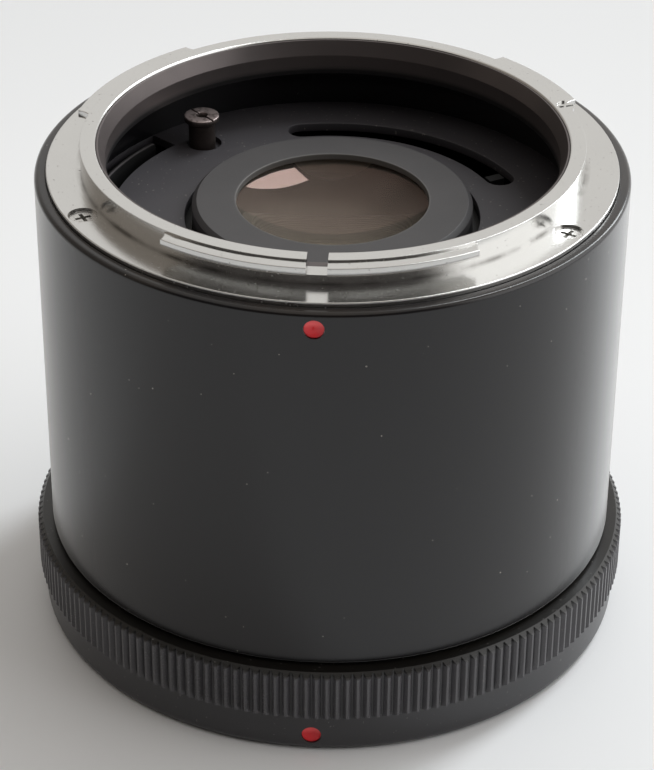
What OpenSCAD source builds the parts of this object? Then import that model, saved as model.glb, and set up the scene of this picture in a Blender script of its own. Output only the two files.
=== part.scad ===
// Camera teleconverter with a lobed front mount and a knurled breech ring at the rear.
// Millimetres, +Z towards the lens side, origin on the axis at the breech ring's rear face.
// The index marks face -Y.

/* [Front mount] */
// Bore of the throat that a lens's rear enters
throat_d = 48; // [46:0.5:50]
// Wall of the raised ring round the throat
ring_wall = 2.6; // [2.2:0.1:3.2]
// Height of the raised ring above the flange plate
ring_h = 2.7; // [2.5:0.1:3.2]
// Reach of the bayonet lobes beyond the raised ring
lobe_reach = 1.4; // [1:0.1:1.6]
// Thickness of the bayonet lobes
lobe_t = 0.85; // [0.7:0.05:1]
// Step from the raised ring's seat down to the lobes
lobe_drop = 0.2; // [0.1:0.05:0.4]
// Width of the flange plate outside the raised ring
flange_w = 3.64; // [3.4:0.02:4.4]
// Thickness of the flange plate
flange_t = 1.3; // [1.1:0.1:1.6]
// Height of the flange plate above the barrel's rim
flange_proud = 0.5; // [0.2:0.1:0.8]
// Width of the index slot
slot_w = 2.1; // [1.8:0.1:2.4]
// Depth of the index slot below the seat
slot_depth = 1.7; // [1.5:0.1:2]
// Wall of the blackened sleeve in the throat
liner_wall = 0.9; // [0.7:0.1:1.1]
// Diameter of the flange screws' heads
flange_screw_d = 2.8; // [2.4:0.1:3]

/* [Barrel] */
// Length of the barrel from its rear edge to its front rim
barrel_h = 42.2; // [40:0.2:60]
// Wall of the barrel
barrel_wall = 2.2; // [1.8:0.1:2.6]
// Width of the rim round the flange plate
rim_w = 1.2; // [1:0.1:1.6]
// Diameter of the painted index dots
dot_d = 2.1; // [1.6:0.1:2.4]

/* [Breech ring] */
// Height of the breech ring
grip_h = 10.5; // [10:0.1:12]
// Reach of the knurl beyond the barrel
grip_proud = 1.7; // [1.3:0.1:2.4]
// Height of the knurled band
knurl_h = 6.2; // [5:0.1:6.4]
// Number of ridges in the knurl
knurl_count = 192; // [120:4:200]
// Depth of the grooves in the knurl
knurl_depth = 0.5; // [0.3:0.05:0.6]
// Turn from open to locked, in degrees
lock_angle = 55; // [40:1:56]
// Thickness of the lugs that grip a camera's lobes
lug_t = 1.2; // [1:0.05:1.3]

/* [Lens] */
// Outside diameter of the lens tube
lens_tube_d = 30; // [29:0.2:31]
// Diameter of the glass elements
glass_d = 22.4; // [21:0.2:23.4]
// Width of the lip that holds the front element
lip_w = 0.9; // [0.7:0.1:1.2]
// Depth of the baffle below the front seat
baffle_depth = 9.2; // [8.6:0.1:10]
// Thickness of the baffle
baffle_t = 1; // [0.8:0.1:1.2]
// Height of the lens ring above the baffle
lens_proud = 1.9; // [1.6:0.1:2.2]

/* [Aperture linkage] */
// Distance of the levers' circle inside the throat
lever_inset = 3.8; // [3.6:0.1:4]
// Distance of the full-aperture post's axis beyond the levers' circle
post_offset = 1.75; // [1.4:0.05:1.8]
// Diameter of the full-aperture post
post_d = 3; // [2.6:0.1:3.2]
// Diameter of the full-aperture post's head
post_head_d = 3.9; // [3.5:0.1:4.2]
// Height of the full-aperture post above the baffle
post_h = 3.6; // [3.2:0.1:4.4]
// Turn of the automatic-aperture drive, in degrees
drive_throw = 25; // [15:1:30]
// Turn of the aperture signal, in degrees
signal_throw = 55; // [40:1:60]
// Thickness of the rings and levers
lever_t = 1.2; // [1:0.1:1.4]
// Width of the levers
lever_w = 3.2; // [2.6:0.1:3.6]
// Wire of the return springs
spring_wire = 0.7; // [0.5:0.05:0.8]

/* [Hidden] */
$fn = 96;

// Clearances: a piece pressed or screwed into another, a running fit, a gap between turning pieces
fit = 0.03;
run_fit = 0.05;
turn_gap = 0.3;
past = 1;

// Azimuths in degrees: the index, the lobes' ends measured from it, the screws
index_az = -90;
front_lobe_half = 34.5;
right_lobe = [113, 141];
left_lobe = [219, 261];
gaps = [
    [front_lobe_half, right_lobe[0]],
    [right_lobe[1], left_lobe[0]],
    [left_lobe[1], 360 - front_lobe_half]
];
lug_play = 2;
flange_screw_az = [60, 180, 300];

// Radii from the throat outwards
throat_r = throat_d / 2;
ring_r = throat_r + ring_wall;
lobe_r = ring_r + lobe_reach;
flange_r = ring_r + flange_w;
recess_r = flange_r + 0.06;
barrel_r = recess_r + rim_w;
bore_r = barrel_r - barrel_wall;
shoulder_r = ring_r + 0.65;
flange_screw_r = ring_r + flange_w / 2;
flange_shank_r = 0.8;
flange_screw_sink = 0.3;
flange_screw_play = 0.16;
liner_r = throat_r + liner_wall;

// Heights from the floor upwards
barrel_z = grip_h + turn_gap;
rim_z = barrel_z + barrel_h;
flange_z = rim_z + flange_proud;
flange_z0 = flange_z - flange_t;
seat_z = flange_z + ring_h;
lobe_z = seat_z - lobe_drop;
slot_z = seat_z - slot_depth;
baffle_z = seat_z - baffle_depth;
baffle_z0 = baffle_z - baffle_t;

// Edges of the barrel and of the grip ring
rim_round = 0.5;
barrel_foot_round = 0.35;
grip_round = 1;
grip_chamfer = 0.6;
crest_share = 0.22;
root_share = 0.14;

// Index dots: depth of the dimple, thickness of the paint
dot_depth = 0.45;
dot_paint = 0.25;
barrel_dot_z = rim_z - 1.8;
grip_dot_z = 2.1;

// Bayonet stop screw: beside the near end of the right lobe
stop_screw_r = 0.95;
stop_screw_az = index_az + right_lobe[0] - 2;
stop_screw_circle_r = ring_r - 0.25;

// Lens tube and glass; the levers turn on a circle outside the tube
tube_r = lens_tube_d / 2;
lever_r = throat_r - lever_inset;
lever_room = lever_r - tube_r;
glass_r = glass_d / 2;
lip_r = glass_r - lip_w;
lip_t = 0.65;
cap_z = baffle_z + lens_proud;
cap_flange_t = 1.5;
cap_spigot_t = 2;
cap_spigot_r = glass_r + 1.35;
cap_chamfer = 0.5;
tube_top_z = cap_z - cap_flange_t;
glass_bore_r = glass_r + 0.05;
stop_bore_r = glass_r - 1.4;
front_edge_t = 5.2;
front_spacer_h = 9;
second_edge_t = 4;
front_glass_z = cap_z - lip_t;
front_stop_z = front_glass_z - front_edge_t - front_spacer_h - second_edge_t;
tube_rear_r = glass_r + 1.8;
tube_rear_z = 5.4;
rear_ring_h = 1.6;
rear_edge_t = 3;
rear_spacer_h = 7.5;
third_edge_t = 2.4;
rear_glass_z = tube_rear_z + rear_ring_h;
rear_stop_z = rear_glass_z + rear_edge_t + rear_spacer_h + third_edge_t;
front_glass_sphere = 21;
front_back_sphere = 160;
second_sphere = 60;
third_sphere = 48;
rear_sphere = 46;

// Rear housing and its floor
plug_r = bore_r - fit;
floor_t = 2.5;
floor_z1 = barrel_z + floor_t;
plug_z1 = floor_z1 + 4;
plug_wall = 2;
journal_r = throat_r + 2;
journal_wall = 3.1;
journal_in_r = journal_r - journal_wall;
foot_r = tube_r + 0.69 * lever_room;
foot_t = 2.2;
foot_screw_circle_r = (tube_r + foot_r) / 2;
foot_head_r = 0.27 * lever_room;
foot_head_h = 1.1;
foot_screw_play = 0.6;
foot_screw_az = [0, 120, 240];

// Rear mount: reference face, spigot, cover, pins
rear_clear = 0.2;
rear_seat_z = ring_h - rear_clear;
seat_ring_t = 1.3;
seat_ring_z1 = rear_seat_z + seat_ring_t;
seat_ring_r = lobe_r - 0.3;
spigot_r = throat_r - 0.1;
spigot_h = 1.9;
seat_screw_r = journal_r - 0.95;
seat_screw_head_r = 1.05;
seat_grip = 3;
seat_screw_az = [45, 135, 225, 315];
pin_r = 0.95;
pin_circle_r = ring_r - 1;
pin_reach = 1.6;
cover_z0 = 6;
cover_t = 1;
cover_z1 = cover_z0 + cover_t;
cover_r = journal_in_r - 0.1;
pillar_r = 2.1;
pillar_offset = 5;
pillar_circle_r = tube_rear_r + pillar_offset;
pillar_az = [112, 232, 352];
cover_screw_r = 0.7;
cover_head_r = 1.3;
cover_head_h = 0.8;
cover_grip = 2;
aperture_pin_r = 1.1;
aperture_pin_az = 300;
aperture_pin_z = 1.4;

// Breech ring: lugs, shoulder on the journal, stop groove
clear_r = lobe_r + 0.25;
lug_r = ring_r + 0.2;
lug_z0 = 0.15;
lug_z1 = lug_z0 + lug_t;
bayonet_r = clear_r + 1.95;
bayonet_z1 = barrel_z - 0.7;
shoulder_z = seat_ring_z1 + 0.4;
grip_lip_t = 1;
grip_lip_r = bayonet_r - 0.9;
grip_r = barrel_r + grip_proud;
band_r = grip_r - knurl_depth - 0.1;
knurl_z = grip_h - knurl_h;
stop_pin_r = 0.8;
stop_pin_grip = 1.9;
stop_pin_az = 90;
stop_circle_r = journal_r + 2.3;
stop_groove_w = 1.9;
stop_groove_depth = 1.5;
stop_play = asin((stop_pin_r + 0.3) / stop_circle_r);
join_screw_r = 0.7;
join_head_r = 1.15;
join_grip = 1.1;
join_screw_z = (lug_z1 + shoulder_z) / 2;
join_screw_az = [30, 150, 270];
washer_t = 0.6;

// Full-aperture post in the baffle, with a relief to one side of its foot
post_r = lever_r + post_offset;
post_az = 135;
post_relief_r = post_d / 2 + 0.45;
post_relief_depth = baffle_t * 0.6;
post_relief_az = post_az - 0.8;

// Control rings on the lens tube
hub_r = tube_r + 0.634 * lever_room;
plate_t = 1;
drive_z1 = baffle_z0 - turn_gap;
drive_z0 = drive_z1 - plate_t;
drive_az = 138;
drive_arm = [drive_az - 9, drive_az + 14];
drive_arm_r = lever_r + 3.15;
drive_lever_az = drive_az + 8;
drive_foot_t = 1;
drive_screw_circle_r = lever_r + 1.7;
drive_screw_r = 0.8;
drive_head_r = 1.4;
drive_head_h = 0.8;
finger_w = 0.7;
finger_r1 = bore_r - plug_wall - 1;
finger_r0 = finger_r1 - finger_w;
finger_az = [144, 214];
finger_arm_az = [198, 214];
ring_pitch = 2.1;
signal_z1 = drive_z0 - ring_pitch;
signal_z0 = signal_z1 - plate_t;
signal_az = 31;
signal_lever_az = signal_az - 7;
signal_arm = [signal_lever_az - 5, signal_az + 4];
lever_z0 = 0.8;
follower_w = 1.8;
clip_t = 1;
clip_groove = 0.6;
clip_gap_az = 40;

// Slots for what moves: along the levers' circle, for the finger
lens_slot_w = 3.2;
lens_slot_az = [28, 103];
lever_slot_w = lever_t + 1.4;
lever_slot_play = 6.5;
finger_slot_play = 3;

// Return springs wound on the lens tube
spring_turns = 3;
spring_pitch = 1.6;
spring_rings = 24;
spring_sides = 6;
spring_r = tube_r + turn_gap + spring_wire / 2;
signal_spring_drop = 8;
drive_spring_drop = 17;
signal_spring_z = signal_z0 - signal_spring_drop;
drive_spring_z = signal_z0 - drive_spring_drop;
anchor_r = 0.6;
anchor_reach = 2.6;
anchor_depth = 1.5;
anchor_turn = (spring_wire + anchor_r + 0.15) / spring_r * 180 / PI;
spring_leg = sqrt(lever_r * lever_r - spring_r * spring_r);
spring_tip = asin((lever_w / 2 + spring_wire / 2 + 0.15) / lever_r) + acos(spring_r / lever_r);
drive_spring_az = drive_lever_az - spring_tip;
signal_spring_az = signal_lever_az - spring_tip;
springs = [[drive_spring_az, drive_spring_z], [signal_spring_az, signal_spring_z]];

// A tube between two radii and two heights
module sleeve(r_out, r_in, z0, z1) {
    translate([0, 0, z0]) difference() {
        cylinder(r = r_out, h = z1 - z0);
        translate([0, 0, -past]) cylinder(r = r_in, h = z1 - z0 + 2 * past);
    }
}

// Places a child at a radius and an azimuth, with its X axis pointing outwards
module polar(r, az) {
    rotate([0, 0, az]) translate([r, 0, 0]) children();
}

// A part of a ring between two azimuths
module sector(r_in, r_out, az0, az1, z0, z1) {
    rotate([0, 0, az0]) rotate_extrude(angle = az1 - az0)
        translate([r_in, z0]) square([r_out - r_in, z1 - z0]);
}

// A curved slot along a circle of radius r; its round ends are a little narrower than the slot
module arc_slot(r, w, az0, az1, z0, z1) {
    sector(r - w / 2, r + w / 2, az0, az1, z0, z1);
    for (az = [az0, az1])
        polar(r, az) translate([0, 0, z0]) cylinder(d = w - 0.1, h = z1 - z0, $fn = 48);
}

// What takes a square outer corner down to a round one; the corner is at the origin, solid at -X -Y
module corner_cut(r) {
    difference() {
        translate([-r, -r]) square(2 * r);
        translate([-r, -r]) circle(r, $fn = 48);
    }
}

// A countersunk screw with its head's face at z = 0 and its shank below
module countersunk(head_r, shank_r, len) {
    rotate_extrude($fn = 48) polygon([
        [0, 0], [head_r, 0], [shank_r, shank_r - head_r], [shank_r, -len], [0, -len]
    ]);
}

// The hole for a countersunk screw, open above z = 0
module countersink(head_r, shank_r, len) {
    rotate_extrude($fn = 48) polygon([
        [0, past], [head_r + fit, past], [head_r + fit, 0],
        [shank_r + fit, shank_r - head_r], [shank_r + fit, -len], [0, -len]
    ]);
}

// A cross recess for a screw's head, cut down from z = 0
module cross_recess(len, w, depth) {
    for (turn = [0, 90])
        rotate([0, 0, turn]) translate([-len / 2, -w / 2, -depth]) cube([len, w, 2 * depth]);
}

// A pan-head screw with its shank up along +Z and its head below z = 0
module pan_screw(head_r, head_h, shank_r, len) {
    difference() {
        union() {
            translate([0, 0, -head_h]) cylinder(r = head_r, h = head_h, $fn = 48);
            cylinder(r = shank_r, h = len, $fn = 48);
        }
        translate([0, 0, -head_h]) cross_recess(head_r * 1.2, head_r * 0.25, head_h / 2);
    }
}

// The slot that a lever's end passes through, over its whole turn
module lever_slot(az, turn, z0, z1) {
    arc_slot(lever_r, lever_slot_w, az - lever_slot_play, az + turn + lever_slot_play, z0, z1);
}

// The hole that a painted dot lies in, square to the wall at the index
module dot_hole(wall_r, z, depth, r) {
    rotate([0, 0, index_az]) translate([wall_r - depth, 0, z])
        rotate([0, 90, 0]) cylinder(r = r, h = depth + past, $fn = 48);
}

// A painted dot at the bottom of its hole, dished on its face
module dot_paint_disc(wall_r, z) {
    dish = 2.6;
    rotate([0, 0, index_az]) translate([wall_r - dot_depth, 0, z]) rotate([0, 90, 0])
        difference() {
            cylinder(r = dot_d / 2 - fit, h = dot_paint, $fn = 48);
            translate([0, 0, dot_paint + dish - 0.15]) sphere(dish);
        }
}

// The lobes' disc with the gaps milled out of it; the cutter leaves round inner corners
module lobes() {
    cutter_w = 2 * lobe_reach + 0.6;
    difference() {
        sleeve(lobe_r, ring_r - past, lobe_z - lobe_t, lobe_z);
        for (gap = gaps)
            arc_slot(
                lobe_r, cutter_w,
                index_az + gap[0] + 3, index_az + gap[1] - 3,
                lobe_z - lobe_t - past, lobe_z + past
            );
    }
}

// The index slot, cut from the throat outwards
module index_slot() {
    rotate([0, 0, index_az]) translate([throat_r - past, -slot_w / 2, slot_z])
        cube([lobe_r - throat_r + 2 * past, slot_w, slot_depth + past]);
}

module barrel() {
    color("#2b2b2d") difference() {
        rotate_extrude($fn = 180) difference() {
            translate([shoulder_r, barrel_z]) square([barrel_r - shoulder_r, barrel_h]);
            translate([shoulder_r - past, barrel_z - past])
                square([bore_r - shoulder_r + past, baffle_z - barrel_z + past]);
            translate([shoulder_r - past, flange_z0])
                square([recess_r - shoulder_r + past, rim_z - flange_z0 + past]);
            translate([barrel_r, rim_z]) corner_cut(rim_round);
            translate([barrel_r, barrel_z]) mirror([0, 1]) corner_cut(barrel_foot_round);
        }
        for (az = flange_screw_az)
            polar(flange_screw_r, index_az + az) translate([0, 0, baffle_z + 0.8])
                cylinder(r = flange_shank_r + fit, h = flange_z0 - baffle_z, $fn = 48);
        dot_hole(barrel_r, barrel_dot_z, dot_depth, dot_d / 2);
    }
}

module front_index_dot() {
    color("#c02838") dot_paint_disc(barrel_r, barrel_dot_z);
}

module front_mount() {
    color("#c9c8c4") difference() {
        union() {
            sleeve(flange_r, liner_r, flange_z0, flange_z);
            sleeve(ring_r, liner_r, flange_z0, seat_z);
            lobes();
        }
        index_slot();
        for (az = flange_screw_az)
            polar(flange_screw_r, index_az + az) translate([0, 0, flange_z - flange_screw_sink]) {
                countersink(flange_screw_d / 2, flange_shank_r, flange_t + past);
                cylinder(r = flange_screw_d / 2 + flange_screw_play, h = past, $fn = 48);
            }
        polar(stop_screw_circle_r, stop_screw_az) translate([0, 0, flange_z])
            cylinder(r = stop_screw_r + fit, h = ring_h + past, $fn = 48);
    }
}

module front_mount_screws() {
    head_z = flange_z - flange_screw_sink;
    color("#a8a8a6") for (az = flange_screw_az)
        polar(flange_screw_r, index_az + az) translate([0, 0, head_z]) difference() {
            countersunk(flange_screw_d / 2, flange_shank_r, head_z - baffle_z - 1);
            cross_recess(flange_screw_d * 0.6, 0.4, 0.5);
        }
}

module bayonet_stop_screw() {
    color("#a8a8a6") polar(stop_screw_circle_r, stop_screw_az) difference() {
        translate([0, 0, flange_z]) cylinder(r = stop_screw_r, h = ring_h - lobe_drop, $fn = 48);
        translate([-2 * stop_screw_r, -0.15, lobe_z - 0.4])
            cube([4 * stop_screw_r, 0.3, 1]);
    }
}

module throat_liner() {
    mouth_w = liner_wall * 0.78;
    mouth_h = 1.6;
    liner_z1 = lobe_z;
    color("#1c1c1e") difference() {
        rotate_extrude($fn = 180) polygon([
            [throat_r, flange_z0], [liner_r - fit, flange_z0], [liner_r - fit, liner_z1],
            [throat_r + mouth_w, liner_z1], [throat_r, liner_z1 - mouth_h]
        ]);
        index_slot();
    }
}

module front_baffle() {
    color("#4a494b") difference() {
        sleeve(bore_r - fit, tube_r + 0.8, baffle_z0, baffle_z);
        arc_slot(
            lever_r, lens_slot_w, lens_slot_az[0], lens_slot_az[1], baffle_z0 - past, baffle_z + past
        );
        polar(post_r, post_az) translate([0, 0, baffle_z0 - past])
            cylinder(r = post_d / 2 + fit, h = baffle_t + 2 * past, $fn = 48);
        polar(post_r, post_relief_az) translate([0, 0, baffle_z - post_relief_depth])
            cylinder(r = post_relief_r, h = post_relief_depth + past, $fn = 48);
        sector(
            finger_r0 - 1.75, shoulder_r + 0.1,
            finger_az[0] - finger_slot_play, finger_az[1] + drive_throw + finger_slot_play,
            baffle_z0 - past, baffle_z + past
        );
    }
}

module full_aperture_post() {
    head_t = 0.6;
    hole_r = 0.6;
    top_z = baffle_z + post_h;
    color("#6d5f57") polar(post_r, post_az) difference() {
        rotate_extrude($fn = 48) polygon([
            [0, baffle_z0], [post_d / 2, baffle_z0], [post_d / 2, top_z - head_t - 0.3],
            [post_head_d / 2, top_z - head_t], [post_head_d / 2, top_z - 0.15],
            [post_head_d / 2 - 0.15, top_z], [0, top_z]
        ]);
        translate([0, 0, top_z - 1.4]) cylinder(r = hole_r, h = 1.4 + past, $fn = 48);
        translate([-post_head_d, -0.15, top_z - 0.25]) cube([2 * post_head_d, 0.3, 1]);
    }
}

module baffle_retaining_ring() {
    ring_t = 1.4;
    notch = 1.6;
    color("#2b2b2d") difference() {
        sleeve(bore_r - fit, shoulder_r + 0.2, baffle_z0 - ring_t, baffle_z0);
        for (az = [0, 180])
            polar(bore_r, az) translate([-notch / 2 - 1, -notch / 2, baffle_z0 - ring_t - past])
                cube([notch + 2, notch, past + ring_t / 2]);
    }
}

module lens_tube() {
    color("#2b2b2d") difference() {
        union() {
            cylinder(r = tube_rear_r, h = tube_top_z);
            translate([0, 0, floor_z1]) cylinder(r = foot_r, h = foot_t);
            translate([0, 0, floor_z1]) cylinder(r = tube_r, h = tube_top_z - floor_z1);
        }
        translate([0, 0, -past]) cylinder(r = tube_rear_r + past, h = tube_rear_z + past);
        translate([0, 0, -past]) cylinder(r = glass_bore_r, h = rear_stop_z + past);
        cylinder(r = stop_bore_r, h = tube_top_z);
        translate([0, 0, front_stop_z]) cylinder(r = glass_bore_r, h = tube_top_z);
        translate([0, 0, tube_top_z - cap_spigot_t])
            cylinder(r = cap_spigot_r + fit, h = cap_spigot_t + past);
        sleeve(tube_r + past, tube_r - clip_groove, signal_z0 - clip_t - 0.15, signal_z0 - 0.05);
        for (az = foot_screw_az)
            polar(foot_screw_circle_r, az) translate([0, 0, floor_z1 - past])
                cylinder(r = cover_screw_r + fit, h = foot_t + 2 * past, $fn = 48);
        for (spring = springs)
            polar(tube_r - anchor_depth, spring[0] - anchor_turn) translate([0, 0, spring[1]])
                rotate([0, 90, 0]) cylinder(r = anchor_r + fit, h = anchor_depth + past, $fn = 48);
    }
}

module lens_tube_screws() {
    color("#8d8d8c") for (az = foot_screw_az)
        polar(foot_screw_circle_r, az) translate([0, 0, floor_z1 + foot_t]) mirror([0, 0, 1])
            pan_screw(foot_head_r, foot_head_h, cover_screw_r, foot_t + floor_t - foot_screw_play);
}

module lens_cap_ring() {
    color("#4c4a4c") rotate_extrude($fn = 180) polygon([
        [lip_r, cap_z], [tube_r - cap_chamfer, cap_z], [tube_r, cap_z - cap_chamfer],
        [tube_r, tube_top_z], [cap_spigot_r, tube_top_z], [cap_spigot_r, tube_top_z - cap_spigot_t],
        [glass_bore_r, tube_top_z - cap_spigot_t], [glass_bore_r, front_glass_z],
        [lip_r, front_glass_z]
    ]);
}

// The height of a spherical face's cap over the glass's edge
function sag(sphere_r) = sphere_r - sqrt(sphere_r * sphere_r - glass_r * glass_r);

module front_element() {
    z0 = front_glass_z - front_edge_t;
    color("#b9a58c", 0.5) difference() {
        translate([0, 0, z0]) cylinder(r = glass_r, h = front_edge_t);
        translate([0, 0, front_glass_z + front_glass_sphere - sag(front_glass_sphere)])
            sphere(front_glass_sphere, $fn = 180);
        translate([0, 0, z0 - front_back_sphere + sag(front_back_sphere)])
            sphere(front_back_sphere, $fn = 180);
    }
}

module second_element() {
    z0 = front_stop_z;
    color("#b9a58c", 0.5) difference() {
        translate([0, 0, z0]) cylinder(r = glass_r, h = second_edge_t);
        for (side = [0, 1])
            translate([0, 0, z0 + side * second_edge_t]) mirror([0, 0, side])
                translate([0, 0, -second_sphere + sag(second_sphere)])
                    sphere(second_sphere, $fn = 180);
    }
}

module third_element() {
    bulge = sag(third_sphere);
    z0 = rear_stop_z - third_edge_t;
    color("#b9a58c", 0.5) union() {
        translate([0, 0, z0]) cylinder(r = glass_r, h = third_edge_t);
        intersection() {
            translate([0, 0, rear_stop_z]) cylinder(r = stop_bore_r - 0.3, h = bulge);
            translate([0, 0, rear_stop_z + bulge - third_sphere]) sphere(third_sphere, $fn = 180);
        }
    }
}

module rear_element() {
    bulge = sag(rear_sphere);
    z1 = rear_glass_z + rear_edge_t;
    color("#b9a58c", 0.5) difference() {
        union() {
            translate([0, 0, rear_glass_z]) cylinder(r = glass_r, h = rear_edge_t);
            intersection() {
                translate([0, 0, rear_glass_z - bulge]) cylinder(r = lip_r - 0.5, h = bulge);
                translate([0, 0, rear_glass_z - bulge + rear_sphere])
                    sphere(rear_sphere, $fn = 180);
            }
        }
        translate([0, 0, z1 + rear_sphere - sag(rear_sphere)]) sphere(rear_sphere, $fn = 180);
    }
}

module front_spacer() {
    color("#1c1c1e")
        sleeve(glass_r, stop_bore_r, front_stop_z + second_edge_t, front_glass_z - front_edge_t);
}

module rear_spacer() {
    color("#1c1c1e")
        sleeve(glass_r, stop_bore_r, rear_glass_z + rear_edge_t, rear_stop_z - third_edge_t);
}

module rear_lens_ring() {
    notch = 1.2;
    color("#2b2b2d") difference() {
        sleeve(glass_r, lip_r - 0.4, tube_rear_z, rear_glass_z);
        for (az = [0, 180])
            polar(glass_r, az) translate([-notch, -notch / 2, tube_rear_z - past])
                cube([2 * notch, notch, past + rear_ring_h / 2]);
    }
}

module rear_housing() {
    color("#222224") difference() {
        union() {
            translate([0, 0, barrel_z]) cylinder(r = plug_r, h = floor_t);
            sleeve(plug_r, plug_r - plug_wall, barrel_z, plug_z1);
            sleeve(journal_r, journal_in_r, seat_ring_z1, barrel_z + past);
            for (az = pillar_az)
                polar(pillar_circle_r, az) translate([0, 0, cover_z1])
                    cylinder(r = pillar_r, h = barrel_z - cover_z1 + past, $fn = 48);
        }
        translate([0, 0, barrel_z - past]) cylinder(r = tube_rear_r + fit, h = floor_t + 2 * past);
        lever_slot(drive_lever_az, drive_throw, barrel_z - past, floor_z1 + past);
        lever_slot(signal_lever_az, signal_throw, barrel_z - past, floor_z1 + past);
        for (az = foot_screw_az)
            polar(foot_screw_circle_r, az) translate([0, 0, barrel_z + foot_screw_play - 0.2])
                cylinder(r = cover_screw_r + fit, h = floor_t, $fn = 48);
        for (az = pillar_az)
            polar(pillar_circle_r, az) translate([0, 0, cover_z1 - past])
                cylinder(r = cover_screw_r + fit, h = past + cover_grip + 0.4, $fn = 48);
        for (az = seat_screw_az)
            polar(seat_screw_r, index_az + az) translate([0, 0, seat_ring_z1 - past])
                cylinder(r = cover_screw_r + fit, h = past + seat_grip + 0.4, $fn = 48);
        polar(stop_circle_r, stop_pin_az) translate([0, 0, barrel_z - past])
            cylinder(r = stop_pin_r + fit, h = past + stop_pin_grip + 0.1, $fn = 48);
    }
}

module rear_seat_ring() {
    color("#c9c8c4") difference() {
        union() {
            sleeve(seat_ring_r, journal_in_r, rear_seat_z, seat_ring_z1);
            sleeve(spigot_r, journal_in_r, rear_seat_z - spigot_h, seat_ring_z1);
        }
        for (az = seat_screw_az)
            polar(seat_screw_r, index_az + az) translate([0, 0, rear_seat_z]) mirror([0, 0, 1])
                countersink(seat_screw_head_r, cover_screw_r, seat_ring_t + past);
        polar(pin_circle_r, index_az) translate([0, 0, rear_seat_z - past])
            cylinder(r = pin_r + fit, h = seat_ring_t + 2 * past, $fn = 48);
    }
}

module rear_seat_screws() {
    color("#a8a8a6") for (az = seat_screw_az)
        polar(seat_screw_r, index_az + az) translate([0, 0, rear_seat_z]) mirror([0, 0, 1])
            difference() {
                countersunk(seat_screw_head_r, cover_screw_r, seat_ring_t + seat_grip);
                cross_recess(seat_screw_head_r * 1.3, 0.3, 0.4);
            }
}

module rear_cover() {
    color("#2b2b2d") difference() {
        sleeve(cover_r, tube_rear_r + 0.2, cover_z0, cover_z1);
        lever_slot(drive_lever_az, drive_throw, cover_z0 - past, cover_z1 + past);
        lever_slot(signal_lever_az, signal_throw, cover_z0 - past, cover_z1 + past);
        for (az = pillar_az)
            polar(pillar_circle_r, az) translate([0, 0, cover_z0 - past])
                cylinder(r = cover_screw_r + fit, h = cover_t + 2 * past, $fn = 48);
    }
}

module rear_cover_screws() {
    color("#8d8d8c") for (az = pillar_az)
        polar(pillar_circle_r, az) translate([0, 0, cover_z0])
            pan_screw(cover_head_r, cover_head_h, cover_screw_r, cover_t + cover_grip);
}

module positioning_pin() {
    tip = 0.3;
    color("#b4b3b0") polar(pin_circle_r, index_az) translate([0, 0, rear_seat_z - pin_reach])
        rotate_extrude($fn = 48) polygon([
            [0, 0], [pin_r - tip, 0], [pin_r, tip],
            [pin_r, pin_reach + seat_ring_t], [0, pin_reach + seat_ring_t]
        ]);
}

module full_aperture_pin() {
    tip = 0.4;
    len = cover_z0 - aperture_pin_z;
    color("#b4b3b0") polar(lever_r, aperture_pin_az) translate([0, 0, aperture_pin_z])
        rotate_extrude($fn = 48) polygon([
            [0, 0], [aperture_pin_r - tip, 0], [aperture_pin_r, tip], [aperture_pin_r, len], [0, len]
        ]);
}

module breech_stop_pin() {
    z0 = bayonet_z1 - stop_groove_depth + turn_gap;
    color("#8d8d8c") polar(stop_circle_r, stop_pin_az) translate([0, 0, z0])
        cylinder(r = stop_pin_r, h = barrel_z + stop_pin_grip - z0, $fn = 48);
}

module breech_washer() {
    color("#b08d57")
        sleeve(stop_circle_r - stop_groove_w / 2 - 0.15, journal_r + 0.15,
            barrel_z - run_fit - washer_t, barrel_z - run_fit);
}

module ring_spacer() {
    color("#8d8d8c") sleeve(hub_r - 0.8, tube_r + fit, signal_z1 + 0.1, drive_z0 - 0.1);
}

module ring_clip() {
    color("#8d8d8c") sector(
        tube_r - clip_groove + fit, hub_r - 0.8,
        clip_gap_az / 2, 360 - clip_gap_az / 2,
        signal_z0 - clip_t - 0.1, signal_z0 - 0.1
    );
}

// A coil round the lens tube, as one swept tube with a straight leg that reaches out to a lever
module coil_spring(az0, z0) {
    rings = spring_turns * spring_rings;
    rise = spring_pitch / spring_rings;
    ends = [for (i = [-1:rings + 1]) i];
    points = [for (i = ends, j = [0:spring_sides - 1])
        let (
            at = min(max(i, 0), rings),
            az = az0 + at * 360 / spring_rings,
            run = i < 0 ? -spring_wire : i > rings ? spring_leg : 0,
            side = j * 360 / spring_sides,
            r = spring_r + spring_wire / 2 * cos(side)
        )
        [
            r * cos(az) - run * sin(az),
            r * sin(az) + run * cos(az),
            z0 + at * rise + spring_wire / 2 * sin(side)
        ]
    ];
    last = len(ends) - 1;
    skin = [for (i = [0:last - 1], j = [0:spring_sides - 1], half = [0, 1])
        let (k = (j + 1) % spring_sides, a = i * spring_sides, b = a + spring_sides)
        half == 0 ? [a + j, b + j, b + k] : [a + j, b + k, a + k]
    ];
    caps = [for (j = [1:spring_sides - 2], far = [0, 1])
        let (a = far * last * spring_sides)
        far == 0 ? [a, a + j, a + j + 1] : [a, a + j + 1, a + j]
    ];
    polyhedron(points = points, faces = concat(skin, caps));
    echo(spring_gap_to_itself = spring_pitch - spring_wire);
}

module drive_spring() {
    color("#9a9a98") coil_spring(drive_spring_az, drive_spring_z);
}

module signal_spring() {
    color("#9a9a98") coil_spring(signal_spring_az, signal_spring_z);
}

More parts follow.
